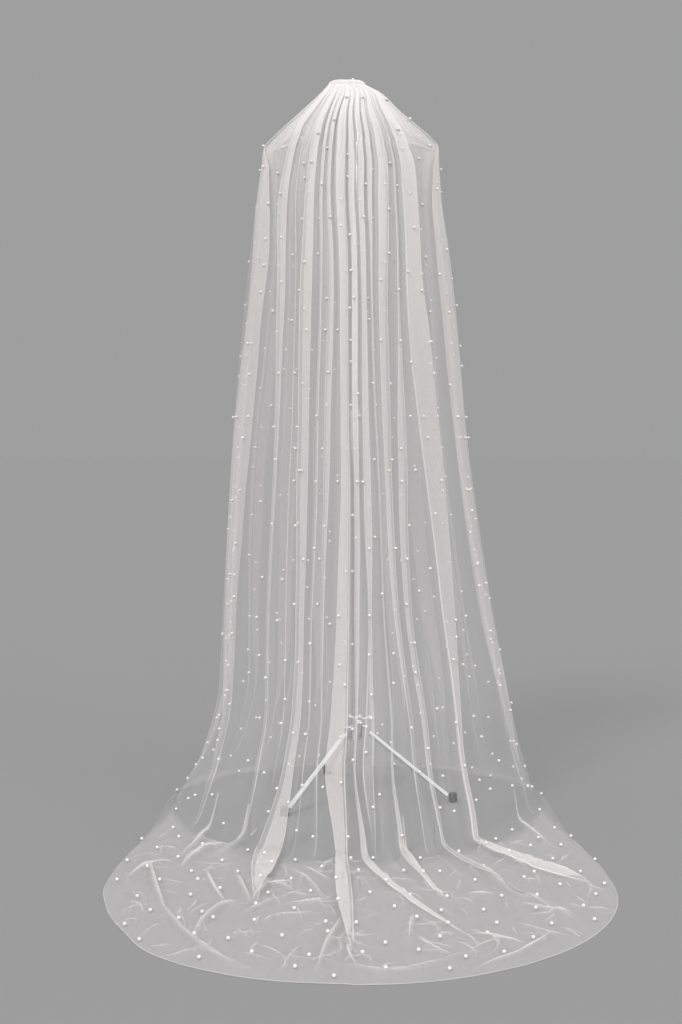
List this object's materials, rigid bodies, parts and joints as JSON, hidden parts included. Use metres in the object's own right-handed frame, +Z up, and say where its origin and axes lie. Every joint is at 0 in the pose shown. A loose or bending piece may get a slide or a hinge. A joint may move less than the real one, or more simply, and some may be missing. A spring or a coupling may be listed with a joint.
{
  "type": "cathedral veil on a display stand",
  "caption": "Sheer tulle bridal veil, gathered onto a comb and hung in lapped folds from a tripod display stand, with a round train laid on the floor.",
  "frame": {"origin": "on the floor, under the middle of the whole part's base", "axes": "+Z up along the stand's pole; the train runs towards -Y; +X to the right as seen from the train"},
  "size_m": [1.0968, 1.665, 1.897],
  "materials": {
    "tulle": "sheer ivory nylon tulle, a fine open net",
    "pearl": "white imitation pearl",
    "comb": "clear plastic",
    "chrome": "polished chrome plate",
    "rubber": "black rubber"
  },
  "bodies": {
    "root": {"veil_heading": "tulle", "veil_edge_left": "tulle", "veil_side_left": "tulle", "veil_front_left": "tulle", "veil_front_middle": "tulle", "veil_front_right": "tulle", "veil_side_right": "tulle", "veil_edge_right": "tulle", "train_back_left": "tulle", "train_left": "tulle", "train_middle": "tulle", "train_right": "tulle", "train_back_right": "tulle", "veil_comb": "comb", "stand_hub": "chrome", "stand_knob_front": "chrome", "stand_knob_side": "chrome", "stand_lug_1": "chrome", "stand_lug_2": "chrome", "stand_lug_3": "chrome", "stand_leg_1": "chrome", "stand_leg_2": "chrome", "stand_leg_3": "chrome", "stand_foot_1": "rubber", "stand_foot_2": "rubber", "stand_foot_3": "rubber", "stand_pole_lower": "chrome", "stand_collar": "chrome", "stand_pole_upper": "chrome", "stand_bar_boss": "chrome", "stand_bar_left": "chrome", "stand_bar_left_end": "chrome", "stand_bar_right": "chrome", "stand_bar_right_end": "chrome", "stand_neck": "chrome"}
  },
  "joints": []
}
